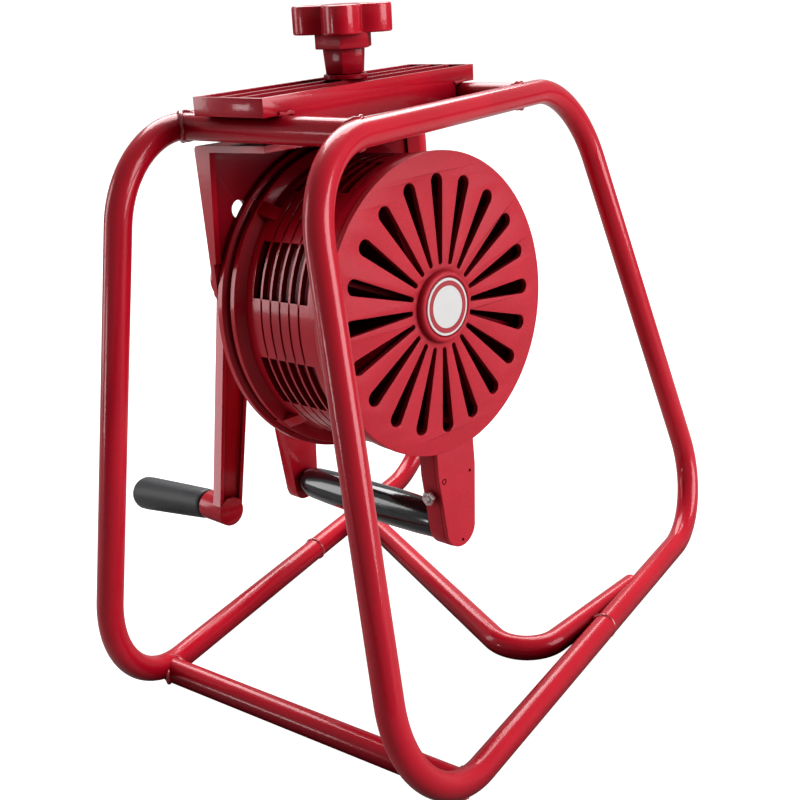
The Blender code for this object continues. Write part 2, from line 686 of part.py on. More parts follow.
def make_housing(head):
    mount = PLATE_FRONT - PLATE_T - GAP
    lip = mount - 4.0
    inner = HOUSING_R - 3.4
    low = HOUSING_REAR
    profile = [(inner, mount), (HOUSING_R + 13, mount), (HOUSING_R + 13, lip), (HOUSING_R + 2, lip),
               (HOUSING_R, lip - 2), (HOUSING_R, low + 4), (HOUSING_R - 4, low), (23.0, low), (23.0, low + 7),
               (inner, low + 7)]
    shell = turned("housing_shell", profile, "red", head, (0, 0, HOUSING_Z), steps=24, closed=True)
    neck_profile = [(9.8, low + 12), (38.0, low + 12), (38.0, low + 1.5), (NECK_R + 4, low - 3),
                    (NECK_R, low - 8), (NECK_R, NECK_END + 1), (NECK_R - 1, NECK_END), (9.8, NECK_END)]
    neck = turned("housing_neck", neck_profile, "red", head, steps=20, closed=True)
    housing = joined(shell, [neck], "gear_housing")
    boolean(housing, drill("layshaft_seat", LAY_SHAFT_R + GAP, low + 4.2, low + 14, head, (0, 0, LAY_DISTANCE)))
    for name, start in (("crank_bush_front", low - 1.0), ("crank_bush_rear", NECK_END + 1.0)):
        ring(name, SHAFT_R + GAP, 9.5, start, start + 12.0, "bronze", head, steps=20)
    for i in range(4):
        turn = math.radians(45 + 90 * i)
        y, z = math.cos(turn), math.sin(turn)
        small = (0, 65.0 * y, HOUSING_Z + 65.0 * z)
        screw(f"housing_screw_{i + 1}", 2.0, 4.0, lip - GAP, CASE_REAR - 1.0, head, small)
        hole = drill(f"housing_screw_hole_{i + 1}", 2.3, lip - 6, CASE_REAR + 4, head, small, steps=12)
        boolean(housing, hole)
        boolean(bpy.data.objects["mounting_bracket"], hole)


def make_bracket_bolts(head):
    for i in range(4):
        turn = math.radians(45 + 90 * i)
        spot = (0, BOLT_CIRCLE * math.cos(turn), BOLT_CIRCLE * math.sin(turn))
        screw(f"bracket_bolt_{i + 1}", 3.0, 5.4, PLATE_FRONT - PLATE_T - GAP, CASE_REAR + 4.5, head, spot)


def make_crank(head):
    facing = (math.pi / 2, 0, math.pi / 2)
    swing = empty("crank_swing", bpy.data.objects["crank_axis"], turn=(-CRANK_ANGLE, 0, 0))
    front, rear = CRANK_WEB
    back = CRANK_FRONT - CRANK_DEPTH
    wide, slim = 13.2, 10.4
    bar = slab("crank_bar", [[(-wide, 0), (-slim, -CRANK_LENGTH), (slim, -CRANK_LENGTH), (wide, 0)]],
               rear, front, "red", swing, turn=facing)
    hub = rod("crank_hub", 17.0, rear - 4, front + 4, "red", swing, soft=1.2, steps=24)
    boss = rod("crank_boss", CRANK_REACH + 0.6, back, CRANK_FRONT, "red", swing, (0, 0, -CRANK_LENGTH), soft=0.8,
               steps=24)
    top, end = -8.0, -CRANK_LENGTH + 4
    for name, low, high in (("web_front", front - 3, front + 5), ("web_rear", rear - 5, rear + 3)):
        pocket = slab(name, [[(3.2 - wide, top), (3.2 - slim, end), (slim - 3.2, end), (wide - 3.2, top)]],
                      low, high, "steel", swing, turn=facing)
        boolean(bar, as_cutter(pocket))
    arm = joined(bar, [hub, boss], "crank_arm")
    boolean(arm, drill("crank_bore", SHAFT_R + GAP, rear - 12, front + 12, swing, steps=20))
    grip_axis = empty("grip_axis", swing, (back, 0, -CRANK_LENGTH), (0, -GRIP_DROOP, 0))
    boolean(arm, drill("spindle_bore", 4.3, -6, CRANK_DEPTH - 5, grip_axis, steps=16))
    seat = rear - 4 - GAP
    slab("crank_nut", [hexagon(17.0), circle(SHAFT_R + GAP, 20)], seat - 6.0, seat, "zinc", swing, turn=facing)
    start = -CRANK_REACH * math.tan(GRIP_DROOP) - GAP
    end = start - GRIP_LENGTH
    profile = [(4.3, start), (GRIP_R - 2.4, start), (GRIP_R - 1.6, start - 2), (GRIP_R - 0.6, start - 40),
               (GRIP_R, end + 12), (GRIP_R - 0.4, end + 4), (GRIP_R - 2.2, end + 0.8), (GRIP_R - 4.5, end), (4.3, end)]
    turned("crank_grip", profile, "dark_grey", grip_axis, steps=24, closed=True)
    rod("grip_spindle", 4.0, end + 2, CRANK_DEPTH - 6, "steel", grip_axis, steps=16)


# ---------------------------------------------------------------- build

def build():
    make_stand()
    tray_top = make_tray()
    make_clamp(tray_top)
    head = empty("head_frame", None, HEAD_ORIGIN, (0, -HEAD_TILT, HEAD_YAW))
    bpy.context.view_layer.update()
    make_bracket(head)
    make_casing(head)
    make_grille(head)
    make_handle(head)
    make_rotor(head)
    make_gears(head)
    make_housing(head)
    make_bracket_bolts(head)
    make_crank(head)
    for made in (*PARTS.objects, *CUTTERS.objects):
        if made.parent is None:
            made.location.y -= brace_crossing() * MM


build()
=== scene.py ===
"""Looks of the hand-cranked siren in its tube stand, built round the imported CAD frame."""

import json
import math
import random

import bmesh
import bpy
from mathutils import Matrix, Vector


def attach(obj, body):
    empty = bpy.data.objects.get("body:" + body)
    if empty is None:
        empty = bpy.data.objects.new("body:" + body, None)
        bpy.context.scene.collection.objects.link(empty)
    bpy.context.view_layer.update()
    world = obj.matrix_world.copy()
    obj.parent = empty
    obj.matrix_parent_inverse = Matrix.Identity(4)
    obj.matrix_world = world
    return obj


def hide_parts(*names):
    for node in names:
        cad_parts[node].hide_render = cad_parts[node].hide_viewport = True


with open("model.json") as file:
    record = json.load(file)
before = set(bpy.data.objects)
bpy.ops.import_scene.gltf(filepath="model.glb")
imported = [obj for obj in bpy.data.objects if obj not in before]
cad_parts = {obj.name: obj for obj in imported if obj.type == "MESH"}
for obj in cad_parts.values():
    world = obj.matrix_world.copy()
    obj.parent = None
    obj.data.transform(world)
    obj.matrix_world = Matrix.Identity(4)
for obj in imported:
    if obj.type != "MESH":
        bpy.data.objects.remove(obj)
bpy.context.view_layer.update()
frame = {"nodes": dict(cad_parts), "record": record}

MM = 0.001
GAP = 0.3
random.seed(11)

# Sizes shared with the CAD part, in millimetres
TUBE_R = 8.0
BAR_Z = 347.8
BASE_Z = TUBE_R * math.cos(math.pi / 12)
FRONT_TOP = ((42.0, -156.5), (26.5, 156.5))
FRONT_BASE = ((132.5, -222.7), (110.4, 224.7))
REAR_TOP = ((-91.7, -156.5), (-108.0, 156.5))
REAR_BASE = ((-93.3, -222.7), (-149.6, 222.7))
FRONT_BENDS = (62.0, 66.0, 57.0, 62.0)
REAR_BENDS = (59.0, 62.0, 62.0, 61.0)
CROSS = {"top_cross_bar_near": -105.8, "top_cross_bar_far": 80.5}
BASE_CROSS_Y = -164.9
BRACE_Y = (86.0, -44.8, 86.0)
BRACE_BEND_X = 96.5
BRACE_BEND_R = 25.0
CLAMP = (-40.9, -13.6)
TRAY = (52.0, 216.0, 10.6)
TRAY_WALL = 2.6
RAIL_WALL = 2.4
SLOT_WIDTH = 12.6
SLOT_LENGTH = 150.0
SKIRT_DEPTH = 9.6
KNOB_TURN = math.radians(36)
BOLT_R = 5.0
HEAD_ORIGIN = (24.9, -13.6, 228.5)
HEAD_YAW = math.radians(-9.7)
HEAD_TILT = math.radians(3.2)
GRILLE_R = 96.2
GRILLE_T = 4.0
GRILLE_TURN = math.radians(-2.6)
HUB_R = 22.7
BADGE_R = 18.2
CASE_R = 94.0
CASE_WALL = 3.6
CASE_REAR = -94.0
FLANGE_R = 104.7
PLATE_T = 4.0
PLATE_FRONT = CASE_REAR - GAP
FLANGE_TOP = 112.2
BRACKET_ENDS = (-102.0, 87.3)
POCKET_DEPTH = 2.4
FOLD_DEPTH = 11.0
BRACKET_TIP = -31.0
BOLT_CIRCLE = 84.0
SCREW_CIRCLE = 65.0
ROTOR_R = 88.6
SHAFT_R = 5.0
HOUSING_R = 58.0
HOUSING_Z = 11.0
HOUSING_REAR = -136.0
NECK_R = 17.0
NECK_END = -200.0
CRANK_LENGTH = 180.0
CRANK_ANGLE = math.radians(11.5)
CRANK_FRONT = -209.0
CRANK_DEPTH = 28.0
CRANK_WEB = (-209.8, -219.4)
CRANK_REACH = 10.8
GRIP_R = 13.7
GRIP_LENGTH = 92.0
GRIP_DROOP = math.radians(6.2)
ARM_T = 16.0
ARM_Y = 1.5
COVER_T = 3.2
COVER_INSET = 0.3
HANDLE_Z = -152.0
ARM_END_Z = -165.6
REAR_ARM_X = -159.0
REAR_ARM_T = 11.0


def brace_crossing():
    """The y, measured from the stand's middle, at which the base brace crosses x = 0."""
    (x0, y0), (x1, y1) = REAR_BASE
    rear_y, bend_y, _ = BRACE_Y
    rear_x = x0 + (x1 - x0) * (rear_y - y0) / (y1 - y0)
    return rear_y + (bend_y - rear_y) * -rear_x / (BRACE_BEND_X - rear_x)


# Everything is laid out from the stand's middle, then moved so that the brace passes over the origin.
SHIFT = Matrix.Translation((0, -brace_crossing() * MM, 0))
HEAD = (Matrix.Translation(Vector(HEAD_ORIGIN) * MM)
        @ Matrix.Rotation(HEAD_YAW, 4, "Z") @ Matrix.Rotation(-HEAD_TILT, 4, "Y"))
SWING = HEAD @ Matrix.Rotation(-CRANK_ANGLE, 4, "X")
GRIP = (SWING @ Matrix.Translation(Vector((CRANK_FRONT - CRANK_DEPTH, 0, -CRANK_LENGTH)) * MM)
        @ Matrix.Rotation(-GRIP_DROOP, 4, "Y"))
WORLD = Matrix.Identity(4)
FACING = Matrix(((0, 0, 1, 0), (1, 0, 0, 0), (0, 1, 0, 0), (0, 0, 0, 1)))    # own x, y, z to y, z, x


def spot(x, y, z):
    return Matrix.Translation(Vector((x, y, z)) * MM)


# ---------------------------------------------------------------- materials

def node(tree, kind, at, **values):
    made = tree.nodes.new(kind)
    made.location = at
    for key, value in values.items():
        if key in made.inputs:
            made.inputs[key].default_value = value
        else:
            setattr(made, key, value)
    return made


# Painted shade: how far the occlusion mask reaches, and the dark red it paints into corners and hollows.
PAINTED_SHADE_REACH = 0.05
PAINTED_SHADE_RED = (0.10, 0.0, 0.004)


def surface(name, colour, rough, metal=0.0, coat=0.0, mottle=0.08, mottle_scale=40.0, grain_scale=900.0,
            grain=0.05, rough_swing=0.06, fleck=0.0, painted_shade=0.0):
    """A Principled material whose colour, roughness and relief come from noise in object space.

    A power above 0 for painted shade makes corners and hollows darker and less shiny: an ambient occlusion
    mask paints shade by mixing the colour towards a dark red and dimming the coat and specular.
    """
    made = bpy.data.materials.new(name)
    made.use_nodes = True
    tree = made.node_tree
    shader = tree.nodes["Principled BSDF"]
    shader.inputs["Metallic"].default_value = metal
    shader.inputs["Coat Weight"].default_value = coat
    shader.inputs["Coat Roughness"].default_value = 0.06
    place = node(tree, "ShaderNodeTexCoord", (-1200, 0))
    broad = node(tree, "ShaderNodeTexNoise", (-950, 250), Scale=mottle_scale, Detail=4.0, Roughness=0.55)
    fine = node(tree, "ShaderNodeTexNoise", (-950, -50), Scale=grain_scale, Detail=3.0, Roughness=0.6)
    tree.links.new(place.outputs["Object"], broad.inputs["Vector"])
    tree.links.new(place.outputs["Object"], fine.inputs["Vector"])
    ramp = node(tree, "ShaderNodeValToRGB", (-700, 250))
    dark = [c * (1 - mottle) for c in colour]
    light = [min(1, c * (1 + mottle)) for c in colour]
    ramp.color_ramp.elements[0].position = 0.3
    ramp.color_ramp.elements[1].position = 0.7
    ramp.color_ramp.elements[0].color = (*dark, 1)
    ramp.color_ramp.elements[1].color = (*light, 1)
    tree.links.new(broad.outputs["Fac"], ramp.inputs["Fac"])
    colour_out = ramp.outputs["Color"]
    if fleck:
        speck = node(tree, "ShaderNodeMapRange", (-700, 480))
        speck.inputs["From Min"].default_value = 0.3
        speck.inputs["From Max"].default_value = 0.7
        speck.inputs["To Min"].default_value = 1 - fleck
        speck.inputs["To Max"].default_value = 1 + fleck
        tree.links.new(fine.outputs["Fac"], speck.inputs["Value"])
        scale = node(tree, "ShaderNodeVectorMath", (-450, 380), operation="SCALE")
        tree.links.new(colour_out, scale.inputs[0])
        tree.links.new(speck.outputs["Result"], scale.inputs["Scale"])
        colour_out = scale.outputs["Vector"]
    # Painted shade: ambient occlusion darkens the colour and dims the coat and specular in corners and
    # hollows.
    if painted_shade:
        shade = node(tree, "ShaderNodeAmbientOcclusion", (-950, 620), Distance=PAINTED_SHADE_REACH, samples=6)
        depth = node(tree, "ShaderNodeMath", (-700, 620), operation="POWER")
        depth.inputs[1].default_value = painted_shade
        tree.links.new(shade.outputs["AO"], depth.inputs[0])
        painted_shade_mix = node(tree, "ShaderNodeMix", (-250, 420), data_type="RGBA")
        painted_shade_mix.inputs[6].default_value = (*PAINTED_SHADE_RED, 1)
        tree.links.new(depth.outputs["Value"], painted_shade_mix.inputs[0])
        tree.links.new(colour_out, painted_shade_mix.inputs[7])
        colour_out = painted_shade_mix.outputs[2]
        for key, level in (("Coat Weight", coat), ("Specular IOR Level", 0.4)):
            fade = node(tree, "ShaderNodeMath", (-450, 620), operation="MULTIPLY")
            fade.inputs[1].default_value = level
            tree.links.new(depth.outputs["Value"], fade.inputs[0])
            tree.links.new(fade.outputs["Value"], shader.inputs[key])
        shader.inputs["Specular Tint"].default_value = (1, 0.35, 0.42, 1)
    tree.links.new(colour_out, shader.inputs["Base Color"])
    swing = node(tree, "ShaderNodeMapRange", (-700, 0))
    swing.inputs["To Min"].default_value = max(0.02, rough - rough_swing)
    swing.inputs["To Max"].default_value = rough + rough_swing
    tree.links.new(broad.outputs["Fac"], swing.inputs["Value"])
    tree.links.new(swing.outputs["Result"], shader.inputs["Roughness"])
    bump = node(tree, "ShaderNodeBump", (-450, -150), Strength=grain, Distance=0.0006)
    tree.links.new(fine.outputs["Fac"], bump.inputs["Height"])
    tree.links.new(bump.outputs["Normal"], shader.inputs["Normal"])
    if coat:
        tree.links.new(bump.outputs["Normal"], shader.inputs["Coat Normal"])
    return made


# Both red paints get painted shade in their corners and hollows.
RED = surface("gloss_red_paint", (0.66, 0.006, 0.024), 0.30, coat=0.45, mottle=0.10, mottle_scale=18,
              grain_scale=420, grain=0.10, rough_swing=0.05, painted_shade=1.8)
SATIN = surface("satin_red_paint", (0.62, 0.024, 0.042), 0.46, coat=0.12, mottle=0.07, mottle_scale=30,
                grain_scale=1500, grain=0.35, rough_swing=0.05, fleck=0.20, painted_shade=1.5)
WELD = surface("weld_bead_paint", (0.52, 0.010, 0.028), 0.30, coat=0.8, mottle=0.15, mottle_scale=120,
               grain_scale=260, grain=0.5, rough_swing=0.06)
BLACK = surface("gloss_black_plastic", (0.012, 0.012, 0.014), 0.16, coat=0.5, mottle=0.2, mottle_scale=50,
                grain_scale=500, grain=0.06, rough_swing=0.05)
GREY = surface("satin_grey_rubber", (0.030, 0.031, 0.035), 0.42, mottle=0.2, mottle_scale=60,
               grain_scale=1800, grain=0.35, rough_swing=0.06, fleck=0.15)
ZINC = surface("bright_zinc_plate", (0.72, 0.71, 0.68), 0.22, metal=1.0, mottle=0.08, mottle_scale=150,
               grain_scale=1500, grain=0.12, rough_swing=0.07)
STEEL = surface("machined_steel", (0.42, 0.42, 0.44), 0.34, metal=1.0, mottle=0.12, mottle_scale=120,
                grain_scale=2200, grain=0.2, rough_swing=0.08)
BRONZE = surface("sintered_bronze", (0.50, 0.32, 0.14), 0.42, metal=1.0, mottle=0.15, mottle_scale=200,
                 grain_scale=2500, grain=0.3, rough_swing=0.08)
WHITE = surface("label_white", (0.86, 0.86, 0.85), 0.34, mottle=0.02, mottle_scale=80, grain_scale=2500,
                grain=0.04, rough_swing=0.04)
LABEL_RED = surface("label_red", (0.50, 0.03, 0.045), 0.36, mottle=0.03, mottle_scale=80, grain_scale=2500,
                    grain=0.04, rough_swing=0.04)


# ---------------------------------------------------------------- mesh helpers

def new_object(name, work, at=WORLD):
    """The bmesh, in millimetres and in the frame at, as an object in world place."""
    mesh = bpy.data.meshes.new(name)
    work.to_mesh(mesh)
    work.free()
    mesh.transform(at @ Matrix.Scale(MM, 4))
    made = bpy.data.objects.new(name, mesh)
    bpy.context.scene.collection.objects.link(made)
    return made


def clean(work, merge=1e-4):
    bmesh.ops.remove_doubles(work, verts=work.verts, dist=merge)
    bmesh.ops.recalc_face_normals(work, faces=work.faces)


def lathe(name, profile, at=WORLD, steps=96):
    """Closed section of (radius, height) points spun round own Z; radius 0 points meet on the axis."""
    work = bmesh.new()
    rings = []
    for r, z in profile:
        if r < 1e-6:
            rings.append([work.verts.new((0, 0, z))])
            continue
        rings.append([work.verts.new((r * math.cos(a), r * math.sin(a), z))
                      for a in (2 * math.pi * i / steps for i in range(steps))])
    for a, b in zip(rings, rings[1:] + rings[:1]):
        if len(a) == 1 and len(b) == 1:
            continue
        for i in range(steps):
            j = (i + 1) % steps
            corners = []
            for vert in (a[i % len(a)], a[j % len(a)], b[j % len(b)], b[i % len(b)]):
                if vert not in corners:
                    corners.append(vert)
            work.faces.new(corners)
    clean(work)
    return new_object(name, work, at)


ALONG_X = Matrix.Rotation(math.pi / 2, 4, "Y")


def arc(radius, start, end, steps, centre=(0, 0)):
    return [(centre[0] + radius * math.cos(math.radians(start + (end - start) * i / steps)),
             centre[1] + radius * math.sin(math.radians(start + (end - start) * i / steps)))
            for i in range(steps + 1)]


def circle(radius, steps=64, centre=(0, 0)):
    return arc(radius, 0, 360 - 360 / steps, steps - 1, centre)


def spun(outline, angle):
    turn = Matrix.Rotation(angle, 2)
    return [tuple(turn @ Vector(p)) for p in outline]


def hexagon(across, turn=0.0):
    return spun(circle(across / math.sqrt(3), 6), turn)


def plate(name, outlines, low, high, at=WORLD, edge=0.0, segments=2):
    """Flat outlines, rim first and then holes, extruded along own Z with rounded edges."""
    curve = bpy.data.curves.new(name, "CURVE")
    curve.dimensions = "2D"
    curve.fill_mode = "BOTH"
    curve.extrude = (high - low) / 2
    for outline in outlines:
        spline = curve.splines.new("POLY")
        spline.points.add(len(outline) - 1)
        for point, (x, y) in zip(spline.points, outline):
            point.co = (x, y, 0, 1)
        spline.use_cyclic_u = True
    flat = bpy.data.objects.new(name, curve)
    bpy.context.scene.collection.objects.link(flat)
    bpy.context.view_layer.update()
    mesh = bpy.data.meshes.new_from_object(flat.evaluated_get(bpy.context.evaluated_depsgraph_get()))
    bpy.data.objects.remove(flat, do_unlink=True)
    work = bmesh.new()
    work.from_mesh(mesh)
    clean(work)
    bmesh.ops.translate(work, verts=work.verts, vec=(0, 0, (high + low) / 2))
    if edge:
        rims = [e for e in work.edges if len(e.link_faces) == 2 and e.calc_face_angle(0) > 0.6
                and abs(e.verts[0].co.z - e.verts[1].co.z) < 1e-5]
        bmesh.ops.bevel(work, geom=rims, offset=edge, segments=segments, profile=0.6, affect="EDGES")
        clean(work, 1e-5)
    return new_object(name, work, at)


def bar(name, size, at=WORLD, edge=0.0):
    work = bmesh.new()
    bmesh.ops.create_cube(work, size=1, matrix=Matrix.Diagonal((*size, 1)))
    if edge:
        bmesh.ops.bevel(work, geom=work.edges[:], offset=edge, segments=2, profile=0.6, affect="EDGES")
    return new_object(name, work, at)


def sweep(name, points, radius, cyclic=False, sides=32, wobble=0.0, at=WORLD):
    """A round bar along a polyline, with its rings kept square to the path and, when it is not closed, its
    ends capped flat.
    """
    count = len(points)
    points = [Vector(p) for p in points]
    work = bmesh.new()
    rings = []
    guide = None
    for i, here in enumerate(points):
        before = points[(i - 1) % count] if cyclic or i else here
        after = points[(i + 1) % count] if cyclic or i < count - 1 else here
        along = (after - before).normalized()
        guide = (guide or along.orthogonal()).normalized()
        guide = (guide - along * guide.dot(along)).normalized()
        side = along.cross(guide)
        size = radius * (1 + wobble * random.uniform(-1, 1))
        rings.append([work.verts.new(here + size * (guide * math.cos(a) + side * math.sin(a)))
                      for a in (2 * math.pi * k / sides for k in range(sides))])
    pairs = list(zip(rings, rings[1:]))
    if cyclic:
        first, last = rings[0], rings[-1]
        near = min(range(sides), key=lambda k: (first[k].co - last[0].co).length)
        pairs.append((last, first[near:] + first[:near]))
    for a, b in pairs:
        for k in range(sides):
            work.faces.new((a[k], a[(k + 1) % sides], b[(k + 1) % sides], b[k]))
    if not cyclic:
        work.faces.new(rings[0])
        work.faces.new(rings[-1])
    clean(work)
    return new_object(name, work, at)


def apply(obj):
    """Bakes the object's modifiers into its mesh."""
    bpy.context.view_layer.update()
    mesh = bpy.data.meshes.new_from_object(obj.evaluated_get(bpy.context.evaluated_depsgraph_get()))
    obj.modifiers.clear()
    obj.data = mesh
    return obj


def boolean(obj, *others, operation="DIFFERENCE"):
    for other in others:
        cut = obj.modifiers.new("cut", "BOOLEAN")
        cut.operation = operation
        cut.solver = "EXACT"
        cut.object = other
    apply(obj)
    for other in others:
        bpy.data.objects.remove(other, do_unlink=True)
    return obj


def soften(obj, width, segments=2, angle=35):
    soft = obj.modifiers.new("edge", "BEVEL")
    soft.width = width * MM
    soft.segments = segments
    soft.limit_method = "ANGLE"
    soft.angle_limit = math.radians(angle)
    soft.use_clamp_overlap = True
    return apply(obj)


def merge(obj, *others):
    """Puts the other meshes into obj's mesh."""
    work = bmesh.new()
    work.from_mesh(obj.data)
    for other in others:
        work.from_mesh(other.data)
        bpy.data.objects.remove(other, do_unlink=True)
    work.to_mesh(obj.data)
    work.free()
    return obj


SLOT_OF = {row["node"]: row["material_slot"] for row in frame["record"]["subparts"]}


def finish(obj, body, look, *nodes, angle=32):
    obj.data.transform(SHIFT)
    obj.data.materials.clear()
    obj.data.materials.append(look)
    obj.data.shade_smooth()
    obj.data.set_sharp_from_angle(angle=math.radians(angle))
    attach(obj, body)
    if nodes:
        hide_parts(*nodes)
    return obj


# ---------------------------------------------------------------- stand

def rounded_path(corners, radii, steps, cyclic=False):
    count = len(corners)
    made = []
    for i, corner in enumerate(corners):
        here = Vector(corner)
        if not cyclic and i in (0, count - 1):
            made.append(here)
            continue
        radius = radii[i]
        back = (Vector(corners[i - 1]) - here).normalized()
        ahead = (Vector(corners[(i + 1) % count]) - here).normalized()
        half = back.angle(ahead) / 2
        centre = here + (back + ahead).normalized() * (radius / math.sin(half))
        start = here + back * (radius / math.tan(half)) - centre
        end = here + ahead * (radius / math.tan(half)) - centre
        sweep_angle = start.angle(end)
        for k in range(steps + 1):
            share = k / steps
            mix = start * math.sin((1 - share) * sweep_angle) + end * math.sin(share * sweep_angle)
            made.append(centre + mix / math.sin(sweep_angle))
    return made


def loop_path(top, base, bends, steps=28):
    corners = [(*top[0], BAR_Z), (*top[1], BAR_Z), (*base[1], BASE_Z), (*base[0], BASE_Z)]
    return rounded_path(corners, bends, steps, cyclic=True)


def across(ends, y):
    (x0, y0), (x1, y1) = ends
    return x0 + (x1 - x0) * (y - y0) / (y1 - y0)


def saddle_path(start, along, loop_point, loop_along, radius, loop_radius, steps=40):
    """The closed line where a bar's side meets a tube: bar from start going along, tube through a point."""
    along = Vector(along).normalized()
    loop_along = Vector(loop_along).normalized()
    side = along.cross(loop_along).normalized()
    other = side.cross(along).normalized()
    made = []
    for i in range(steps):
        angle = 2 * math.pi * i / steps
        foot = Vector(start) + radius * (side * math.cos(angle) + other * math.sin(angle))
        offset = foot - Vector(loop_point)
        a = along - loop_along * along.dot(loop_along)
        b = offset - loop_along * offset.dot(loop_along)
        under = a.dot(b) ** 2 - a.dot(a) * (b.dot(b) - loop_radius ** 2)
        t = (-a.dot(b) - math.sqrt(max(under, 0))) / a.dot(a)
        made.append(foot + along * t)
    return made


def bead(name, path, body="stand"):
    """A weld bead: a lumpy cord along the joint line."""
    shaken = [p + Vector((random.uniform(-1, 1), random.uniform(-1, 1), random.uniform(-1, 1))) * 0.25
              for p in path]
    return finish(sweep(name, shaken, 1.75, cyclic=True, sides=10, wobble=0.22), body, WELD, angle=80)


def seam(name, centre, along, radius=8.25, body="stand"):
    """A weld ring round a tube where two lengths are joined."""
    along = Vector(along).normalized()
    side = along.orthogonal().normalized()
    other = along.cross(side)
    path = [Vector(centre) + (radius - 0.6) * (side * math.cos(a) + other * math.sin(a))
            for a in (2 * math.pi * i / 40 for i in range(40))]
    shaken = [p + along * random.uniform(-0.35, 0.35) for p in path]
    return finish(sweep(name, shaken, 1.3, cyclic=True, sides=8, wobble=0.25), body, WELD, angle=80)


def make_stand():
    lines = {"front": (FRONT_TOP, FRONT_BASE, FRONT_BENDS), "rear": (REAR_TOP, REAR_BASE, REAR_BENDS)}
    for side, shape in lines.items():
        finish(sweep(f"{side}_loop_tube", loop_path(*shape), TUBE_R, cyclic=True, sides=40), "stand", RED,
               f"{side}_frame_loop", angle=60)
    for name, y in CROSS.items():
        rear = Vector((across(REAR_TOP, y), y, BAR_Z))
        front = Vector((across(FRONT_TOP, y), y, BAR_Z))
        along = (front - rear).normalized()
        finish(sweep(name + "_tube", [rear + along * 4, front - along * 4], TUBE_R, sides=40), "stand", RED,
               name, angle=60)
        for end, away, ends in (("rear", -along, REAR_TOP), ("front", along, FRONT_TOP)):
            run = (ends[1][0] - ends[0][0], ends[1][1] - ends[0][1], 0)
            start = (rear + front) / 2
            spot_on = rear if end == "rear" else front
            bead(f"{name}_weld_{end}", saddle_path(start, away, spot_on, run, TUBE_R, TUBE_R))
    rear = Vector((across(REAR_BASE, BASE_CROSS_Y), BASE_CROSS_Y, BASE_Z))
    front = Vector((across(FRONT_BASE, BASE_CROSS_Y), BASE_CROSS_Y, BASE_Z))
    along = (front - rear).normalized()
    finish(sweep("base_cross_tube", [rear + along * 4, front - along * 4], TUBE_R, sides=40), "stand", RED,
           "base_cross_bar", angle=60)
    for end, away, spot_on, ends in (("rear", -along, rear, REAR_BASE), ("front", along, front, FRONT_BASE)):
        run = (ends[1][0] - ends[0][0], ends[1][1] - ends[0][1], 0)
        bead(f"base_cross_weld_{end}", saddle_path((rear + front) / 2, away, spot_on, run, TUBE_R, TUBE_R))
    rear_y, bend_y, front_y = BRACE_Y
    brace = [(across(REAR_BASE, rear_y) + 4, rear_y, BASE_Z), (BRACE_BEND_X, bend_y, BASE_Z),
             (across(FRONT_BASE, front_y) - 0.6 * TUBE_R, front_y, BASE_Z)]
    path = rounded_path(brace, (0, BRACE_BEND_R, 0), 24)
    finish(sweep("base_brace_tube", path, TUBE_R, sides=40), "stand", RED, "base_brace", angle=60)
    run = (REAR_BASE[1][0] - REAR_BASE[0][0], REAR_BASE[1][1] - REAR_BASE[0][1], 0)
    bead("brace_weld_rear", saddle_path(path[1], path[0] - path[1],
                                        (across(REAR_BASE, rear_y), rear_y, BASE_Z),
                                        run, TUBE_R, TUBE_R))
    seam("front_seam", (111.4 + 8.3, 25.2, BASE_Z), (FRONT_BASE[1][0] - FRONT_BASE[0][0], 445.4, 0))
    seam("rear_seam", (across(REAR_BASE, 16.9), 16.9, BASE_Z), (REAR_BASE[1][0] - REAR_BASE[0][0], 445.4, 0))


def make_tray():
    floor = BAR_Z + TUBE_R + GAP
    width, length, height = TRAY
    centre = (CLAMP[0], CLAMP[1], floor + height / 2)
    tray = bar("tray_casting", (width, length, height), spot(*centre))
    near, far = CROSS["top_cross_bar_near"] + TUBE_R + 1, CROSS["top_cross_bar_far"] - TUBE_R - 1
    skirt = bar("s", (width, far - near, SKIRT_DEPTH + 1),
                spot(CLAMP[0], (near + far) / 2, floor - (SKIRT_DEPTH - 1) / 2))
    boolean(tray, skirt, operation="UNION")
    rail = SLOT_WIDTH / 2 + RAIL_WALL
    channel = width / 2 - TRAY_WALL - rail
    cutters = []
    for side in (-1, 1):
        cutters.append(bar("c", (channel, length - 2 * TRAY_WALL, height),
                           spot(CLAMP[0] + side * (rail + channel / 2), CLAMP[1],
                                floor + TRAY_WALL + height / 2), 0.5))
    cutters.append(bar("c", (SLOT_WIDTH, length - 2 * TRAY_WALL, height),
                       spot(CLAMP[0], CLAMP[1], floor + TRAY_WALL + height / 2), 0.5))
    cutters.append(plate("c", [arc(5.8, 0, 180, 16, (0, SLOT_LENGTH / 2 - 5.8))
                               + arc(5.8, 180, 360, 16, (0, 5.8 - SLOT_LENGTH / 2))], -12, 8,
                         spot(CLAMP[0], CLAMP[1], floor)))
    boolean(tray, *cutters)
    soften(tray, 0.5, 2)
    finish(tray, "stand", RED, "clamp_tray")
    for side in (-1, 1):
        x = CLAMP[0] + side * (width / 2)
        line = [(x + random.uniform(-0.4, 0.4), CLAMP[1] - length / 2 + 12 + i * (length - 24) / 60,
                 floor + 0.6 + random.uniform(-0.5, 0.5)) for i in range(61)]
        for end, y in (("near", CROSS["top_cross_bar_near"]), ("far", CROSS["top_cross_bar_far"])):
            part = [p for p in line if abs(p[1] - y) < 11]
            name = f"tray_weld_{'rear' if side < 0 else 'front'}_{end}"
            finish(sweep(name, part, 1.1, sides=10, wobble=0.3), "stand", WELD, angle=80)
    return floor + height


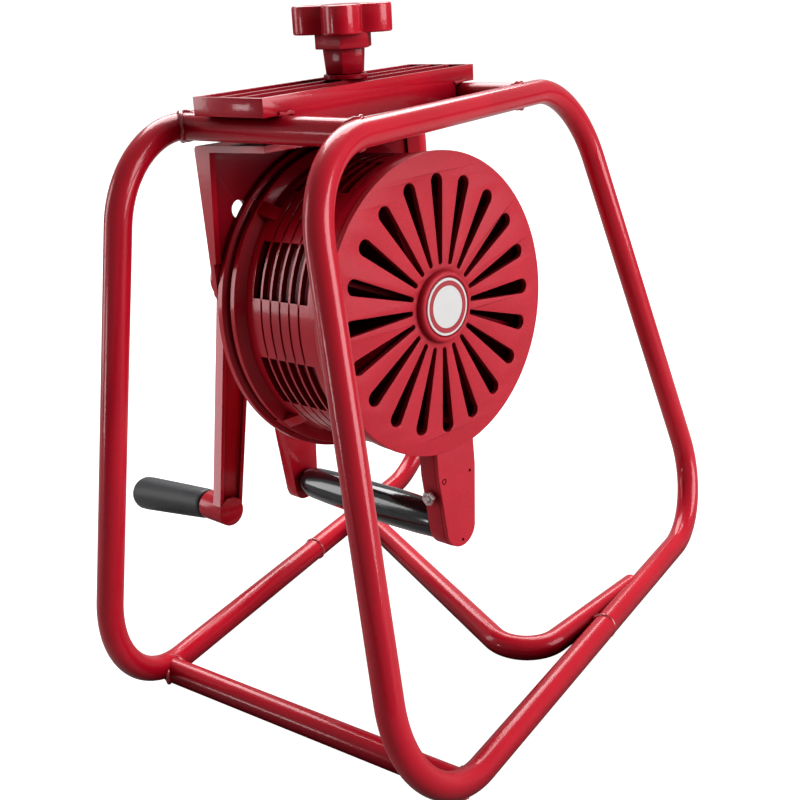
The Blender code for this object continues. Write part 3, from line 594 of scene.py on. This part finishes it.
def make_clamp(tray_top):
    at = spot(CLAMP[0], CLAMP[1], 0)
    low = tray_top + GAP
    washer = lathe("washer_disc", [(13.0, low + 3), (13.6, low + 2.4), (13.6, low + 0.5), (13.2, low),
                                   (BOLT_R + GAP, low), (BOLT_R + GAP, low + 3)], at, 64)
    finish(washer, "washer", RED, "clamp_washer")
    base = low + 3 + GAP
    neck_top, collar_top, head_top = base + 15.0, base + 23.6, base + 40.6
    rim = []
    for i in range(160):
        angle = 2 * math.pi * i / 160
        wave = (1 + math.cos(4 * angle)) / 2
        radius = 17.5 + 13.0 * wave ** 0.7
        rim.append((radius * math.cos(angle), radius * math.sin(angle)))
    turn = at @ Matrix.Rotation(KNOB_TURN, 4, "Z")
    head = plate("knob_casting", [rim], collar_top, head_top, turn, edge=1.6, segments=4)
    collar = plate("c1", [hexagon(32.4)], neck_top, collar_top + 1, at, edge=0.7)
    neck = lathe("c2", [(0, neck_top + 1), (14.2, neck_top + 1), (12.8, base), (0, base)], at, 6)
    soften(neck, 0.5)
    finish(merge(head, collar, neck), "knob", RED, "star_knob")


# ---------------------------------------------------------------- siren head

def casing_shell():
    """Drum with slotted windows: rows along the axis, columns round it, cells left out where it is open."""
    outer, inner = CASE_R, CASE_R - CASE_WALL
    slots = [(-20.8 - 8.8 * k, -27.8 - 8.8 * k) for k in range(6)]
    rows = [(-14.4, 0.0)]
    for k, (a, b) in enumerate(slots):
        rows.append((a, 0.0))
        rows.append((b, 0.0))
        if k < 5:
            rows += [(b - 0.35, -0.9), (b - 1.45, -0.9)]
    rows.append((-79.0, 0.0))
    open_rows = {i for i, (x, _) in enumerate(rows[:-1]) if any(abs(x - a) < 1e-6 for a, _ in slots)}
    angles = []
    for sector in range(8):
        middle = 22.5 + 45 * sector
        angles += [(middle - 11 + 2 * i, i < 11) for i in range(12)]
        angles += [(middle + 11 + 23 * i / 12, False) for i in range(1, 12)]
    count = len(angles)
    work = bmesh.new()

    def ring(radius, x, dent=0.0):
        made = []
        for degrees, _ in angles:
            near = abs((degrees - 22.5 + 22.5) % 45 - 22.5)
            depth = radius + (dent if near > 11.01 else 0.0)
            a = math.radians(degrees)
            made.append(work.verts.new((x, depth * math.cos(a), depth * math.sin(a))))
        return made

    out_rings = [ring(outer, x, dent) for x, dent in rows]
    in_rings = [ring(inner, x) for x, _ in rows]

    def quad(a, b, c, d):
        work.faces.new((a, b, c, d))

    def is_open(i, j):
        return i in open_rows and angles[j % count][1]

    for i in range(len(rows) - 1):
        for j in range(count):
            k = (j + 1) % count
            if is_open(i, j):
                edges = []
                if not is_open(i - 1, j):
                    edges.append(((i, j), (i, k)))
                if not is_open(i + 1, j):
                    edges.append(((i + 1, j), (i + 1, k)))
                if not is_open(i, j - 1):
                    edges.append(((i, j), (i + 1, j)))
                if not is_open(i, j + 1):
                    edges.append(((i, k), (i + 1, k)))
                for (p, q), (r, s) in edges:
                    quad(out_rings[p][q], out_rings[r][s], in_rings[r][s], in_rings[p][q])
                continue
            quad(out_rings[i][j], out_rings[i][k], out_rings[i + 1][k], out_rings[i + 1][j])
            quad(in_rings[i][j], in_rings[i + 1][j], in_rings[i + 1][k], in_rings[i][k])
    front = [(inner, -GRILLE_T - GAP), (outer + 1.1, -GRILLE_T - GAP), (outer + 1.6, -GRILLE_T - 0.9),
             (outer + 1.6, -12.6), (outer + 1.2, -13.2), (outer, -14.0)]
    rear = [(outer + 0.8, -79.6), (outer + 6.6, -80.6), (outer + 7.5, -81.4), (outer + 7.5, -84.9),
            (outer + 6.9, -85.5), (outer + 3.4, -86.0), (outer + 3.2, -88.2), (FLANGE_R - 0.8, -88.8),
            (FLANGE_R, -89.5), (FLANGE_R, CASE_REAR + 0.6), (FLANGE_R - 0.6, CASE_REAR), (16.3, CASE_REAR),
            (16.3, -74.4), (16.7, -74.0), (21.0, -74.0), (21.5, -74.5), (24.0, -86.5), (inner, -86.5)]
    for chain, ends in ((front, (in_rings[0], out_rings[0])), (rear, (out_rings[-1], in_rings[-1]))):
        line = [ends[0]] + [ring(r, x) for r, x in chain] + [ends[1]]
        for a, b in zip(line, line[1:]):
            for j in range(count):
                k = (j + 1) % count
                quad(a[j], a[k], b[k], b[j])
    clean(work)
    return new_object("casing_drum", work, HEAD)


def make_casing():
    drum = casing_shell()
    gussets = []
    for degrees in (45, 135, 225, 315):
        wedge = [(-66, CASE_R - 1.5), (-81, CASE_R + 7.0), (-89, CASE_R + 7.8), (-89, CASE_R - 1.5)]
        at = HEAD @ Matrix.Rotation(math.radians(degrees - 90), 4, "X")
        piece = plate("g", [wedge], -4.5, 4.5, at @ Matrix.Rotation(math.pi / 2, 4, "X"), edge=0.8)
        gussets.append(piece)
    merge(drum, *gussets)
    finish(drum, "siren", RED, "stator_casing", angle=40)


def make_grille():
    at = HEAD @ FACING
    slot = arc(5.0, -90, 90, 12, (82.8 - 5.0, 0)) + arc(1.6, 90, 270, 8, (26.5 + 1.6, 0))
    slots = [spun(slot, math.pi / 2 + GRILLE_TURN + 2 * math.pi * i / 20) for i in range(20)]
    disc = plate("grille_disc", [circle(GRILLE_R, 180)] + slots, -GRILLE_T, 0, at, edge=0.45, segments=2)
    finish(disc, "siren", SATIN, "front_grille")
    head = HEAD @ ALONG_X
    hub = lathe("hub_dish", [(0, 3.4), (BADGE_R + 0.6, 3.4), (BADGE_R + 1.2, 4.3), (HUB_R - 2.4, 4.6),
                             (HUB_R - 0.8, 3.9), (HUB_R, 2.6), (HUB_R + 0.4, 0.05), (0, 0.05)], head, 96)
    finish(hub, "siren", SATIN, "grille_hub", angle=50)
    badge = lathe("badge_disc", [(0, 4.4), (BADGE_R - 0.2, 4.4), (BADGE_R, 4.2), (BADGE_R, 3.5), (0, 3.5)],
                  head, 96)
    finish(badge, "siren", WHITE, "hub_badge")
    ring = lathe("badge_red_ring", [(16.6, 4.55), (16.6, 4.3), (13.4, 4.3), (13.4, 4.55)], head, 96)
    finish(ring, "siren", LABEL_RED)


def arm_outline(top_z, end_z, top_half, end_half, saddle_r, y=ARM_Y):
    round_z = end_z + end_half
    angle = math.degrees(math.asin(top_half / saddle_r))
    saddle = arc(saddle_r, 270 + angle, 270 - angle, 20)
    outline = saddle + [(-top_half, top_z)] + arc(end_half, 180, 360, 28, (0, round_z)) + [(top_half, top_z)]
    return [(a + y, b) for a, b in outline]


def dimple(x, y, z, radius, depth, direction):
    """A short rod to cut a small round hole, pointing along a head axis."""
    turn = {"x": ALONG_X, "y": Matrix.Rotation(math.pi / 2, 4, "X")}[direction]
    return lathe("d", [(0, depth), (radius, depth), (radius, -depth), (0, -depth)],
                 HEAD @ spot(x, y, z) @ turn, 20)


def make_handle():
    at = HEAD @ FACING
    front = plate("front_arm_casting", [arm_outline(-112, ARM_END_Z, 18.0, 14.0, GRILLE_R - 1.0)],
                  -ARM_T, -COVER_T, at, edge=0.5, segments=2)
    cover = plate("c", [arm_outline(-112, ARM_END_Z + COVER_INSET, 18.0 - COVER_INSET, 14.0 - COVER_INSET,
                                    GRILLE_R - 1.0)],
                  -COVER_T - 0.4, 0, at, edge=0.5, segments=3)
    boolean(front, cover, operation="UNION")
    screw_ring = lathe("d", [(1.2, 0.8), (2.1, 0.8), (2.1, -0.8), (1.2, -0.8)],
                       HEAD @ spot(0, -11.5, -115) @ ALONG_X, 28)
    boolean(front, dimple(0, 13.5, -115, 1.1, 2.5, "x"), screw_ring,
            dimple(0, 2.0, -161, 1.1, 2.5, "x"), dimple(-ARM_T / 2, ARM_Y, -126, 2.8, 40, "y"))
    finish(front, "siren", SATIN, "front_handle_arm")
    low, high = REAR_ARM_X - REAR_ARM_T, REAR_ARM_X
    sides = ([(-20, -8), (-14, -112), (-9.5, -158)] + arc(7, 190, 270, 8, (-2, ARM_END_Z + 7))
             + arc(8.5, 270, 350, 8, (3.5, ARM_END_Z + 8.5)) + [(16, -112), (20, -8)])
    rear = plate("rear_arm_casting", [sides], low, high, at)
    eye = plate("e", [circle(27, 72)], low - 0.2, high + 0.2, at)
    boolean(rear, eye, operation="UNION")
    soften(rear, 0.9, 3)
    bore = lathe("b", [(0, 40), (NECK_R + GAP, 40), (NECK_R + GAP, -40), (0, -40)],
                 HEAD @ spot(REAR_ARM_X, 0, 0) @ ALONG_X, 64)
    boolean(rear, bore)
    finish(rear, "siren", RED, "rear_handle_arm")
    low, high = REAR_ARM_X + GAP, -ARM_T - GAP
    middle = (low + high) / 2
    profile = [(4.3, high), (10.4, high), (11.3, high - 0.8), (12.0, high - 4), (12.9, middle + 48),
               (13.3, middle + 25), (13.1, middle), (12.9, middle - 22), (12.4, middle - 42),
               (11.6, low + 12), (10.3, low + 4), (8.6, low + 0.6), (7.4, low), (4.3, low)]
    grip = lathe("carry_grip_barrel", profile, HEAD @ spot(0, ARM_Y, HANDLE_Z) @ ALONG_X, 72)
    finish(grip, "siren", BLACK, "carry_grip", angle=50)
    across_y = HEAD @ spot(-ARM_T / 2, ARM_Y, -126) @ Matrix.Rotation(math.pi / 2, 4, "X")
    shank = [(0, 24), (2.1, 24), (2.5, 23.6), (2.5, -21.1), (2.1, -21.5), (0, -21.5)]
    bolt = lathe("handle_bolt_shank", shank, across_y, 28)
    threads = [lathe("t", [(2.5, top), (2.72, top - 0.2), (2.5, top - 0.4), (2.2, top - 0.2)], across_y, 28)
               for top in (23.3, 22.5)]
    finish(merge(bolt, *threads), "siren", ZINC, "handle_bolt")
    nut = plate("handle_nut_hex", [hexagon(8.6, 0.2), circle(2.75, 32)], 18.3, 22.3, across_y, edge=0.5,
                segments=3)
    finish(nut, "siren", ZINC, "handle_nut")


def make_bracket():
    top, low, shoulder = FLANGE_TOP, -52.0, 20.0
    left, right = BRACKET_ENDS
    front, rear = PLATE_FRONT, PLATE_FRONT - PLATE_T
    bend = [(rear + 3 + 3 * math.cos(a), top - 3 + 3 * math.sin(a))
            for a in (math.pi / 2 + math.pi / 2 * i / 6 for i in range(7))]
    section = [(rear, low), (front, low), (front, top - PLATE_T), (BRACKET_TIP, top - PLATE_T),
               (BRACKET_TIP, top)] + bend
    bracket = plate("bracket_sheet", [section], -right, -left, HEAD @ Matrix.Rotation(math.pi / 2, 4, "X"))
    fold = [(rear + 1, 40), (front + 2, 40), (front + FOLD_DEPTH, top - 1), (rear + 1, top - 1)]
    side = plate("f", [fold], -left - PLATE_T, -left, HEAD @ Matrix.Rotation(math.pi / 2, 4, "X"))
    boolean(bracket, side, operation="UNION")
    at = HEAD @ FACING
    openings = [circle(48, 96, (0, HOUSING_Z)), circle(6, 40, (-77, 70))]
    for side, end in ((-1, left), (1, right)):
        openings.append([(end + 5 * side, shoulder), (end, shoulder), (60 * side, low - 2),
                         (end + 5 * side, low - 2)])
    for degrees in (45, 135, 225, 315):
        a = math.radians(degrees)
        openings.append(circle(3.3, 20, (BOLT_CIRCLE * math.cos(a), BOLT_CIRCLE * math.sin(a))))
    cutters = [plate("o", [outline], rear - 5, front + 5, at) for outline in openings]
    pocket = arc(3, 0, 90, 6, (72.5, 94)) + [(46, 97), (46, 82), (75.5, 82)]
    cutters.append(plate("o", [pocket], front - POCKET_DEPTH, front + 5, at))
    cutters.append(lathe("o", [(0, 60), (BOLT_R + 1.6, 60), (BOLT_R + 1.6, -20), (0, -20)],
                         spot(CLAMP[0], CLAMP[1], 300), 40))
    boolean(bracket, *cutters)
    soften(bracket, 0.5, 2)
    finish(bracket, "siren", RED, "mounting_bracket")


def make_housing():
    mount = PLATE_FRONT - PLATE_T - GAP
    lip = mount - 4.0
    inner = HOUSING_R - 3.4
    low = HOUSING_REAR
    bell = [(inner, mount), (HOUSING_R + 12.4, mount), (HOUSING_R + 13, mount - 0.6),
            (HOUSING_R + 13, lip + 0.6), (HOUSING_R + 12.4, lip), (HOUSING_R + 2.5, lip),
            (HOUSING_R + 0.7, lip - 0.7), (HOUSING_R, lip - 2.5), (HOUSING_R, low + 4),
            (HOUSING_R - 1.2, low + 1.2), (HOUSING_R - 4, low), (23, low), (23, low + 7), (inner, low + 7)]
    shell = lathe("housing_casting", bell, HEAD @ spot(0, 0, HOUSING_Z) @ ALONG_X, 128)
    nose = [(9.8, low + 12), (38, low + 12), (38, low + 1.5), (NECK_R + 5, low - 1.5),
            (NECK_R + 1.5, low - 4.5), (NECK_R, low - 8), (NECK_R, NECK_END + 1), (NECK_R - 1, NECK_END),
            (9.8, NECK_END)]
    neck = lathe("n", nose, HEAD @ ALONG_X, 96)
    boolean(shell, neck, operation="UNION")
    finish(shell, "siren", RED, "gear_housing", angle=40)
    for i in range(4):
        a = math.radians(45 + 90 * i)
        y, z = math.cos(a), math.sin(a)
        for name, centre, shank, cap, seat, end in (
                (f"housing_screw_{i + 1}", (0, SCREW_CIRCLE * y, HOUSING_Z + SCREW_CIRCLE * z), 2.0, 4.0,
                 lip - GAP, CASE_REAR - 1.0),
                (f"bracket_bolt_{i + 1}", (0, BOLT_CIRCLE * y, BOLT_CIRCLE * z), 3.0, 5.4,
                 mount, CASE_REAR + 4.5)):
            deep = 0.7 * cap
            body = lathe(name + "_body", [(0, end), (shank, end), (shank, seat), (cap, seat),
                                          (cap, seat - deep * 0.6), (cap * 0.8, seat - deep * 0.95),
                                          (cap * 0.55, seat - deep), (cap * 0.5, seat - deep * 0.45),
                                          (0, seat - deep * 0.45)], HEAD @ spot(*centre) @ ALONG_X, 32)
            finish(body, "siren", ZINC, name)


def make_rotor():
    vane_w, hub, pad = 3.0, 13.0, ROTOR_R - 3.2
    foot = math.sqrt(hub ** 2 - vane_w ** 2 / 4)
    inner = math.sqrt(pad ** 2 - vane_w ** 2 / 4)
    outline = []
    for i in range(8):
        blade = [(foot, -vane_w / 2), (inner, -vane_w / 2)] + arc(pad, -4, -14, 4) + arc(ROTOR_R, -14, 14, 14)
        blade += arc(pad, 14, 4, 4) + [(inner, vane_w / 2), (foot, vane_w / 2)]
        outline += spun(blade, 2 * math.pi * (i + 0.5) / 8)
    at = HEAD @ FACING
    drum = plate("rotor_drum", [outline, circle(SHAFT_R + GAP, 32)], -69.0, -12.0, at, edge=0.5)
    back = plate("rotor_back", [circle(ROTOR_R - 0.4, 120), circle(SHAFT_R + GAP, 32)], -72.0, -68.0, at,
                 edge=0.5)
    finish(merge(drum, back), "rotor", RED, "rotor")
    finish(lathe("rotor_shaft_rod", [(0, -8.5), (4.4, -8.5), (5, -9.1), (5, -108.4), (4.4, -109), (0, -109)],
                 HEAD @ ALONG_X, 40), "rotor", STEEL, "rotor_shaft")
    nut = plate("rotor_nut_hex", [hexagon(17.0), circle(SHAFT_R + GAP, 32)], -11.7, -9.3, at, edge=0.4)
    finish(nut, "rotor", ZINC, "rotor_nut")


def make_crank():
    at = SWING @ FACING
    front, rear = CRANK_WEB
    back = CRANK_FRONT - CRANK_DEPTH
    wide, slim = 13.2, 10.4
    bar_shape = [(-wide, 0), (-slim, -CRANK_LENGTH), (slim, -CRANK_LENGTH), (wide, 0)]
    arm = plate("crank_casting", [bar_shape], rear, front, at)
    top, end = -8.0, -CRANK_LENGTH + 4
    pocket = [(3.2 - wide, top), (3.2 - slim, end), (slim - 3.2, end), (wide - 3.2, top)]
    boolean(arm, plate("p", [pocket], front - 3, front + 6, at), plate("p", [pocket], rear - 6, rear + 3, at))
    soften(arm, 0.7, 3)
    r = CRANK_REACH + 0.6
    boss = lathe("b", [(0, CRANK_FRONT), (r - 0.9, CRANK_FRONT), (r - 0.25, CRANK_FRONT - 0.25),
                       (r, CRANK_FRONT - 0.9), (r, back + 0.8), (r - 0.8, back), (0, back)],
                 SWING @ spot(0, 0, -CRANK_LENGTH) @ ALONG_X, 64)
    hub = lathe("h", [(0, front + 4), (16, front + 4), (17, front + 3), (17, rear - 3), (16, rear - 4),
                      (0, rear - 4)], SWING @ ALONG_X, 64)
    boolean(arm, hub, boss, operation="UNION")
    bore = lathe("o", [(0, 60), (SHAFT_R + GAP, 60), (SHAFT_R + GAP, -60), (0, -60)],
                 SWING @ spot(CRANK_FRONT, 0, 0) @ ALONG_X, 40)
    boolean(arm, bore)
    finish(arm, "crank", RED, "crank_arm", angle=40)
    seat = rear - 4 - GAP
    nut = plate("crank_nut_hex", [hexagon(17.0), circle(SHAFT_R + GAP, 32)], seat - 6, seat, at, edge=0.7,
                segments=3)
    finish(nut, "crank", ZINC, "crank_nut")
    start = -CRANK_REACH * math.tan(GRIP_DROOP) - GAP
    end = start - GRIP_LENGTH
    g = GRIP_R
    profile = [(4.3, start), (g - 3.2, start), (g - 2.3, start - 0.9), (g - 1.9, start - 4),
               (g - 1.2, start - 30), (g - 0.5, start - 60), (g, end + 10), (g - 0.2, end + 4),
               (g - 1.2, end + 1.4),
               (g - 2.8, end + 0.4), (g - 5, end), (4.3, end + 0.3)]
    grip = lathe("crank_grip_barrel", profile, GRIP @ ALONG_X, 72)
    finish(grip, "crank_grip", GREY, "crank_grip", angle=60)


# ---------------------------------------------------------------- CAD nodes that stay

def dress_cad_nodes():
    looks = {"steel": STEEL, "zinc_plate": ZINC, "bronze": BRONZE, "red_paint": RED, "satin_red": SATIN,
             "black_plastic": BLACK, "grey_rubber": GREY, "white_label": WHITE}
    for name, obj in frame["nodes"].items():
        if obj.hide_render:
            continue
        obj.data.materials.clear()
        obj.data.materials.append(looks[SLOT_OF[name]])


# ---------------------------------------------------------------- studio

FLOOR_HALF = 400
FLOOR_GLOW = 1.05
AMBIENT = 0.05
MIRROR_GLOW = 0.28
LIGHTS = (("key", (2.3, 0.65, 1.0), (1.5, 1.6), 56), ("back_top", (-0.9, 1.2, 1.9), (2.0, 1.6), 68),
          ("left", (-2.0, -1.0, 0.6), (0.6, 1.6), 13), ("low", (-1.2, -1.85, 0.2), (0.35, 0.35), 3.5))


def pale_floor():
    """White to the eye and dimmer to the object, so that the floor doesn't tint the undersides."""
    pale = bpy.data.materials.new("pale_floor")
    pale.use_nodes = True
    tree = pale.node_tree
    shader = tree.nodes["Principled BSDF"]
    shader.inputs["Base Color"].default_value = (0.34, 0.34, 0.34, 1)
    shader.inputs["Roughness"].default_value = 0.9
    shader.inputs["Specular IOR Level"].default_value = 0.1
    shader.inputs["Emission Color"].default_value = (1, 1, 1, 1)
    path = node(tree, "ShaderNodeLightPath", (-500, 0))
    glow = node(tree, "ShaderNodeMath", (-250, 0), operation="MULTIPLY")
    glow.inputs[1].default_value = FLOOR_GLOW
    tree.links.new(path.outputs["Is Camera Ray"], glow.inputs[0])
    tree.links.new(glow.outputs["Value"], shader.inputs["Emission Strength"])
    return pale


def make_studio():
    floor = bpy.data.objects.new("floor", bpy.data.meshes.new("floor"))
    corners = [(x * FLOOR_HALF, y * FLOOR_HALF, 0) for x, y in ((-1, -1), (1, -1), (1, 1), (-1, 1))]
    floor.data.from_pydata(corners, [], [(0, 1, 2, 3)])
    bpy.context.scene.collection.objects.link(floor)
    floor.data.materials.append(pale_floor())
    world = bpy.data.worlds.new("studio")
    bpy.context.scene.world = world
    world.use_nodes = True
    tree = world.node_tree
    back = tree.nodes["Background"]
    back.inputs["Color"].default_value = (1, 1, 1, 1)
    path = node(tree, "ShaderNodeLightPath", (-500, 0))
    mirrored = node(tree, "ShaderNodeMath", (-350, 0), operation="MULTIPLY_ADD")
    mirrored.inputs[1].default_value = MIRROR_GLOW
    mirrored.inputs[2].default_value = AMBIENT
    level = node(tree, "ShaderNodeMath", (-150, 0), operation="MAXIMUM")
    tree.links.new(path.outputs["Is Glossy Ray"], mirrored.inputs[0])
    tree.links.new(mirrored.outputs["Value"], level.inputs[0])
    tree.links.new(path.outputs["Is Camera Ray"], level.inputs[1])
    tree.links.new(level.outputs["Value"], back.inputs["Strength"])
    for name, place, size, power in LIGHTS:
        data = bpy.data.lights.new(name, "AREA")
        data.shape = "RECTANGLE"
        data.size, data.size_y = size
        data.energy = power
        lamp = bpy.data.objects.new(name, data)
        lamp.location = place
        lamp.rotation_euler = (Vector((0, 0, 0.2)) - Vector(place)).to_track_quat("-Z", "Y").to_euler()
        bpy.context.scene.collection.objects.link(lamp)
    camera = bpy.data.objects.new("camera", bpy.data.cameras.new("camera"))
    camera.data.lens = 53.325
    camera.data.sensor_width = 36
    camera.data.clip_end = 900
    right = Vector((0.81788, 0.57336, -0.04845))
    up = Vector((-0.15610, 0.30213, 0.94041))
    back_axis = Vector((0.55382, -0.76157, 0.33661))
    turn = Matrix((right, up, back_axis)).transposed().to_4x4()
    camera.matrix_world = SHIFT @ Matrix.Translation((0.4250, -0.6145, 0.4252)) @ turn
    bpy.context.scene.collection.objects.link(camera)
    bpy.context.scene.camera = camera
    bpy.context.scene.view_settings.view_transform = "Standard"


make_stand()
make_clamp(make_tray())
make_casing()
make_grille()
make_handle()
make_bracket()
make_housing()
make_rotor()
make_crank()
dress_cad_nodes()
make_studio()
